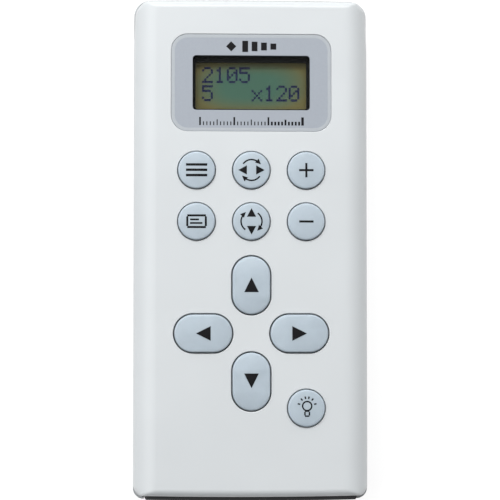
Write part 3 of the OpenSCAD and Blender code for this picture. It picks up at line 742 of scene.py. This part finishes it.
CASE_WHITE = (0.487, 0.509, 0.522)
KEY_BLUE = (0.34, 0.396, 0.443)
PANEL_GREY = (0.268, 0.293, 0.330)
PANEL_RIM = (0.324, 0.348, 0.373)
INK_BLACK = (0.005, 0.005, 0.006)

LOOKS = {
    "case": moulded("case_plastic", CASE_WHITE, 0.32, Specular_IOR_Level=0.4),
    "black": moulded("black_plastic", (0.018, 0.018, 0.02), 0.45, grain=0.35, grain_depth=0.02),
    "socket": moulded("socket_plastic", (0.022, 0.022, 0.024), 0.4, grain=0.3, grain_depth=0.01),
    "chip": moulded("chip_epoxy", (0.02, 0.02, 0.021), 0.55, grain=0.12, grain_depth=0.008),
    "backlight": moulded("backlight_milk", (0.75, 0.76, 0.68), 0.35),
    "ribbon": moulded("ribbon_film", (0.5, 0.5, 0.5), 0.4),
    "silicone": silicone("key_silicone", KEY_BLUE),
    "carbon": moulded("carbon_rubber", (0.015, 0.015, 0.015), 0.8, grain=0.1, grain_depth=0.01),
    "ink": printed("legend_ink", INK_BLACK, 0.5, shine=0.1),
    "panel": printed("panel_print", PANEL_GREY, 0.32, 0.6),
    "panel_rim": printed("panel_rim_print", PANEL_RIM, 0.31, 0.6),
    "window": acrylic(),
    "gasket": foam(),
    "lcd": crystal_cell(),
    "lcd_dot": printed("lcd_dot", (0.009, 0.009, 0.042), 0.34, 0.2, shine=0.1),
    "tin": moulded("black_tin", (0.014, 0.014, 0.014), 0.4, grain=0.4),
    "elastomer": moulded("striped_rubber", (0.03, 0.03, 0.03), 0.7),
    "board": circuit_board(),
    "nickel": metal("nickel_plate", (0.66, 0.64, 0.6), 0.22),
    "gold": metal("gold_flash", (0.85, 0.6, 0.22), 0.2),
    "zinc": metal("zinc_plate", (0.6, 0.61, 0.63), 0.3, (1, 1, 0.3)),
    "can": metal("component_cans", (0.62, 0.63, 0.65), 0.3),
    "label": foil_label(),
}

CAD_LOOKS = {
    "socket_panel": "black", "display_gasket": "gasket", "lcd_frame": "tin", "lcd_glass": "lcd",
    "lcd_backlight": "backlight", "lcd_elastomers": "elastomer", "lcd_board": "board",
    "lcd_ribbon": "ribbon", "main_board": "board", "processor": "chip",
    "voltage_regulator": "chip", "board_components": "can", "keypad_mat": "silicone",
    "mount_port_shell": "nickel", "mount_port_insulator": "socket", "mount_port_pins": "gold",
    "mount_port_jack_nuts": "nickel", "guide_port_housing": "socket",
    "guide_port_contacts": "gold", "case_screws": "zinc", "board_screws": "zinc",
    "display_screws": "zinc", "display_window": "window", "rear_label": "label",
}
CAD_LOOKS.update({f"{name}_contact": "carbon" for name in KEY_NAMES})


def dress_cad_nodes():
    for name, look in CAD_LOOKS.items():
        materials = frame["nodes"][name].data.materials
        materials.clear()
        materials.append(LOOKS[look])


# ---------- display ----------

RIM_W = 1.0
RIM_STEP = 0.12
PANEL_STEP = 0.03
PANEL_EDGE_R = 0.12
OPENING_EDGE_R = 0.1


def display_panel():
    """The grey panel: a paler rim, a small round on every edge, and the window opening."""
    top, low, r = PANEL[1].z, PANEL[0].z, PANEL_EDGE_R
    shape = Shape()

    def outer(inset, z):
        return rounded_loop(PANEL_W - 2 * inset, PANEL_H - 2 * inset, PANEL_R - inset, 0, PANEL_Y, z)

    def inner(grow, z):
        w, h = OPENING_W + 2 * grow, OPENING_H + 2 * grow
        return rounded_loop(w, h, OPENING_R + grow, 0, WINDOW_Y, z)

    shape.slot = 1
    edge = [outer(r * t, top - r * d) for t, d in quarter_steps(4)]
    first, rim = shape.loft([outer(0, low), *edge, outer(RIM_W, top)])
    shape.slot = 0
    bed = top - PANEL_STEP
    mouth = [inner(OPENING_EDGE_R * d, bed - OPENING_EDGE_R * t) for t, d in quarter_steps(3)]
    _, last = shape.loft([outer(RIM_W + RIM_STEP, bed), *mouth, inner(0, low)], rim)
    shape.bridge(first, last)
    obj = shape.build("display_panel_plate", [LOOKS["panel"], LOOKS["panel_rim"]], "case")
    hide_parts("display_panel")


# ---------- ink ----------


def bar(x, y, w, h):
    corners = [(-1, -1), (1, -1), (1, 1), (-1, 1)]
    return [(x + sx * w / 2, y + sy * h / 2) for sx, sy in corners]


def turned(points, degrees, x=0.0, y=0.0):
    c, s = math.cos(math.radians(degrees)), math.sin(math.radians(degrees))
    return [(x + c * px - s * py, y + s * px + c * py) for px, py in points]


def band(x, y, r, stroke, start, end, steps=24):
    """Quads along an arc from start to end, in degrees."""
    quads = []
    for i in range(steps):
        a, b = (math.radians(start + (end - start) * k / steps) for k in (i, i + 1))
        low, high = r - stroke / 2, r + stroke / 2
        corners = [(low, a), (high, a), (high, b), (low, b)]
        quads.append([(x + q * math.cos(t), y + q * math.sin(t)) for q, t in corners])
    return quads


INK_CELL = 0.45


def ink(name, shapes, x, y, height, look, body):
    """Prints flat convex shapes, given from (x, y), as a thin layer that follows height."""
    work = bmesh.new()
    for points in shapes:
        work.faces.new([work.verts.new((px, py, 0)) for px, py in points])
    bmesh.ops.remove_doubles(work, verts=work.verts, dist=0.001)
    for axis in (0, 1):
        spread = [v.co[axis] for v in work.verts]
        for k in range(math.ceil(min(spread) / INK_CELL), math.floor(max(spread) / INK_CELL) + 1):
            normal = Vector((1, 0, 0)) if axis == 0 else Vector((0, 1, 0))
            everything = [*work.verts, *work.edges, *work.faces]
            bmesh.ops.bisect_plane(work, geom=everything, dist=1e-5, plane_no=normal,
                                   plane_co=normal * (k * INK_CELL))
    raised = bmesh.ops.extrude_face_region(work, geom=work.faces[:], use_keep_orig=True)
    upper = {v for v in raised["geom"] if isinstance(v, bmesh.types.BMVert)}
    for v in work.verts:
        lift = INK_T / 2 if v in upper else -INK_T
        v.co = Vector((x + v.co.x, y + v.co.y, height(v.co.x, v.co.y) + lift)) * MM
    bmesh.ops.recalc_face_normals(work, faces=work.faces)
    mesh = bpy.data.meshes.new(name)
    work.to_mesh(mesh)
    work.free()
    return piece(name, mesh, [LOOKS[look]], body)


def panel_marks():
    """Plain marks where a maker would print names: bold bars above, a fine scale below."""
    top = PANEL[1].z - PANEL_STEP

    def flat(_x, _y):
        return top

    above = [turned(bar(0, 0, 2.1, 2.1), 45, -6.0, 0)]
    above += [bar(-1.9 + 2.75 * i, 0, 1.7, 3.3 - 0.5 * i) for i in range(4)]
    ink("panel_mark_above", above, 0.1, PANEL_Y + 10.7, flat, "ink", "case")
    below = []
    for i in range(31):
        tall, wide = (2.4, 0.5) if i % 10 == 0 else ((1.7, 0.3) if i % 5 == 0 else (1.1, 0.3))
        wide += 0.25 if i > 20 else 0
        below.append(bar(-15 + i, -1.2 + tall / 2, wide, tall))
    ink("panel_mark_below", below, 0, PANEL_Y - 11.3, flat, "ink", "case")


ARROWHEAD = [(-0.78, -0.75), (0.78, -0.75), (0.0, 0.9)]


def swap_icon():
    """Two triangles back to back, inside two arrows that run round."""
    shapes = []
    for side in (0, 180):
        shapes.append(turned([(1.35, -1.35), (3.85, 0.0), (1.35, 1.35)], side))
        for quad in band(0, 0.1, 2.95, 0.44, 145, 56):
            shapes.append(turned(quad, side))
        shapes.append(turned(turned(ARROWHEAD, -133, 2.1, 2.25), side))
    return shapes


def bulb_icon():
    shapes = band(0.15, 0.65, 1.32, 0.42, 0, 360, 48)
    shapes += [turned(edge, 0, 0.15, -1.55) for edge in frame_icon(1.3, 1.45, 0.42)]
    for degrees in (14, 50, 78, 102, 130, 166):
        shapes.append(turned(bar(2.45, 0, 0.75, 0.42), degrees, 0.15, 0.65))
    return shapes


def frame_icon(w, h, stroke):
    return [bar(0, h / 2, w, stroke), bar(0, -h / 2, w, stroke),
            bar(-w / 2, 0, stroke, h - stroke), bar(w / 2, 0, stroke, h - stroke)]


def arrow(degrees, x, y):
    """A direction key's triangle, set off the key's middle."""
    return turned(turned([(-2.12, -2.1), (2.12, -2.1), (0, 2.15)], degrees), 0, x, y)


LEGENDS = {
    "mount_key": [bar(0, 1.55 * k, 6.2, 0.72) for k in (-1, 0, 1)],
    "reverse_x_key": swap_icon(),
    "plus_key": [bar(0, 0, 4.2, 0.62), bar(0, 1.205, 0.62, 1.79), bar(0, -1.205, 0.62, 1.79)],
    "display_key": frame_icon(5.4, 3.4, 0.6) + [bar(-0.6, 0.52, 2.6, 0.5), bar(-0.1, -0.52, 3.6, 0.5)],
    "reverse_y_key": [turned(shape, 90) for shape in swap_icon()],
    "minus_key": [bar(0, 0, 4.2, 0.62)],
    "up_key": [arrow(0, 0, 0.1)],
    "left_key": [arrow(90, 0.03, 0)],
    "right_key": [arrow(-90, -0.03, 0)],
    "down_key": [arrow(180, 0, 0.28)],
    "light_key": bulb_icon(),
}

# ---------- display characters ----------

GLYPHS = {
    "0": "01110 10001 10011 10101 11001 10001 01110",
    "1": "00100 01100 00100 00100 00100 00100 01110",
    "2": "01110 10001 00001 00010 00100 01000 11111",
    "5": "11111 10000 11110 00001 00001 10001 01110",
    "x": "00000 00000 10001 01010 00100 01010 10001",
}
LCD_TEXT = ["2105", "5   x120"]
DOT_PITCH = (0.64, 0.68)
DOT_SIZE = (0.62, 0.66)
CHARACTER_PITCH = (3.645, 5.38)
TEXT_RISE = 0.68


def lcd_characters():
    """The dots that are on, as thin dark tiles on the cell."""
    top = box_mm("lcd_glass")[1].z

    def flat(_x, _y):
        return top + INK_T

    dots = []
    for line, text in enumerate(LCD_TEXT):
        for place, character in enumerate(text):
            if character == " ":
                continue
            middle_x = (place - 3.5) * CHARACTER_PITCH[0]
            middle_y = (0.5 - line) * CHARACTER_PITCH[1]
            for row, bits in enumerate(GLYPHS[character].split()):
                for column, bit in enumerate(bits):
                    if bit == "1":
                        dots.append(bar(middle_x + (column - 2) * DOT_PITCH[0],
                                        middle_y + (3 - row) * DOT_PITCH[1], *DOT_SIZE))
    ink("lcd_characters", dots, 0, VIEW_Y + TEXT_RISE, flat, "lcd_dot", "case")


# ---------- keys ----------


def key_cap(key):
    """A domed key with a soft edge and a rounded foot, and its printed legend."""
    tilt = math.asin((key.r - KEY_EDGE_R) / KEY_CROWN_R)
    join = key.r - KEY_EDGE_R + KEY_EDGE_R * math.sin(tilt)
    centre_z = key.top_z - join ** 2 / (2 * KEY_CROWN_R) - KEY_EDGE_R * math.cos(tilt)
    foot = [(-0.5, key.low_z), (-0.12, key.low_z + 0.1), (0.0, key.low_z + 0.4)]
    profile = []
    for i in range(EDGE_STEPS + 1):
        a = (math.pi / 2 - tilt) * i / EDGE_STEPS
        profile.append((KEY_EDGE_R * (math.cos(a) - 1), centre_z + KEY_EDGE_R * math.sin(a)))
    for i in range(1, CROWN_STEPS + 1):
        reach = join * (1 - i / CROWN_STEPS)
        profile.append((reach - key.r, key.top_z - reach ** 2 / (2 * KEY_CROWN_R)))
    shape = Shape()
    loops = [key.loop(offset, z) for offset, z in foot]
    loops += [[(x, y, z - key.fall(x - key.x, y - key.y)) for x, y, z in key.loop(*step)]
              for step in profile]
    first, _ = shape.loft(loops)
    shape.face(tuple(first))
    obj = shape.build(f"{key.name}_cap", [LOOKS["silicone"]], key.name, 50)
    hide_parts(key.name)
    ink(f"{key.name}_legend", LEGENDS[key.name], key.x, key.y, key.crown, "ink", key.name)


def key_web(key):
    """The thin skirt round a key, whose foot lies flat on the mat."""
    low, high = box_mm(f"{key.name}_web")
    reach = (high.x - low.x) / 2 - (key.r + (key.run / 2 if key.sideways else 0))
    foot, top = low.z, high.z
    profile = [(0.06, top - 0.42), (0.06, top), (0.3, top), (0.55, top - 0.12),
               (reach - 0.25, foot + 0.26), (reach, foot + 0.14), (reach, foot + 0.01),
               (reach - 0.45, foot + 0.01), (0.42, top - 0.5)]
    shape = Shape()
    first, last = shape.loft([key.loop(offset, z) for offset, z in profile])
    shape.bridge(last, first)
    obj = shape.build(f"{key.name}_skirt", [LOOKS["silicone"]], "case")
    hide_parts(f"{key.name}_web")
    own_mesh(obj)


# ---------- stage ----------

AIM = Vector((-0.0004, -0.0008, FACE_Z * MM))
LIGHT_REACH = 0.8


def softbox(name, bearing, lean, size, watts):
    """A soft light aimed at the case. Lean is its angle off the vertical, in degrees."""
    light = bpy.data.lights.new(name, "AREA")
    light.shape = "RECTANGLE"
    light.size, light.size_y = size
    light.energy = watts
    side, rise = math.radians(bearing), math.radians(90 - lean)
    toward = Vector((math.cos(side), math.sin(side), 0)) * math.cos(rise)
    toward.z = math.sin(rise)
    obj = bpy.data.objects.new(name, light)
    obj.location = AIM + toward * LIGHT_REACH
    obj.rotation_euler = toward.to_track_quat("Z", "Y").to_euler()
    bpy.context.scene.collection.objects.link(obj)


CAMERA_REACH = 0.600
SENSOR_W = 36
CAMERA_TILT = math.radians(2.75)
CAMERA_SIDE = math.radians(-2.4)
VIEW_SPAN = 0.1457


def camera():
    lens = bpy.data.cameras.new("camera")
    lens.sensor_width = SENSOR_W
    lens.lens = SENSOR_W * CAMERA_REACH / VIEW_SPAN
    back = Vector((math.tan(CAMERA_SIDE), -math.tan(CAMERA_TILT), 1)).normalized()
    right = Vector((0, 1, 0)).cross(back).normalized()
    turn = Matrix((right, back.cross(right), back)).transposed().to_4x4()
    obj = bpy.data.objects.new("camera", lens)
    obj.matrix_world = Matrix.Translation(AIM + back * CAMERA_REACH) @ turn
    bpy.context.scene.collection.objects.link(obj)
    bpy.context.scene.camera = obj


FLOOR_SIZE = 6.0


def floor():
    """Pale paper that glows a little, so that the object's shadow on it stays faint."""
    mesh = bpy.data.meshes.new("floor")
    mesh.from_pydata([(x, y, 0) for x, y in bar(0, 0, FLOOR_SIZE, FLOOR_SIZE)], [], [(0, 1, 2, 3)])
    look = Look("floor_paper", (0.2, 0.2, 0.2), 0.8)
    look.set("Base Color", look.mix(look.noise(60, 2), (0.19, 0.19, 0.19), (0.21, 0.21, 0.21)))
    look.set("Emission Color", (1, 1, 1))
    look.set("Emission Strength", 0.8)
    mesh.materials.append(look.material)
    obj = bpy.data.objects.new("floor", mesh)
    bpy.context.scene.collection.objects.link(obj)


WORLD_LIGHT = (0.02, 1.06)


def world():
    """A white sky, brighter past the display end than past the socket end."""
    made = bpy.data.worlds.new("studio")
    made.use_nodes = True
    nodes, links = made.node_tree.nodes, made.node_tree.links
    background = nodes["Background"]
    background.inputs["Color"].default_value = (1, 1, 1, 1)
    direction = nodes.new("ShaderNodeTexCoord")
    split = nodes.new("ShaderNodeSeparateXYZ")
    strength = nodes.new("ShaderNodeMapRange")
    strength.inputs["From Min"].default_value = -1.0
    strength.inputs["To Min"].default_value = WORLD_LIGHT[0]
    strength.inputs["To Max"].default_value = WORLD_LIGHT[1]
    links.new(direction.outputs["Generated"], split.inputs[0])
    links.new(split.outputs["Y"], strength.inputs["Value"])
    links.new(strength.outputs[0], background.inputs["Strength"])
    bpy.context.scene.world = made


def stage():
    bpy.context.scene.view_settings.view_transform = "Standard"
    world()
    floor()
    softbox("display_end", 90, 40, (0.8, 0.25), 5.25)
    softbox("upper_left", 155, 38, (1.0, 0.8), 4.6)
    camera()


# ---------- the object ----------

dress_cad_nodes()
front_shell([LOOKS["case"]])
rear_shell([LOOKS["case"]])
display_panel()
panel_marks()
lcd_characters()
for one_key in KEYS:
    key_cap(one_key)
    key_web(one_key)
stage()
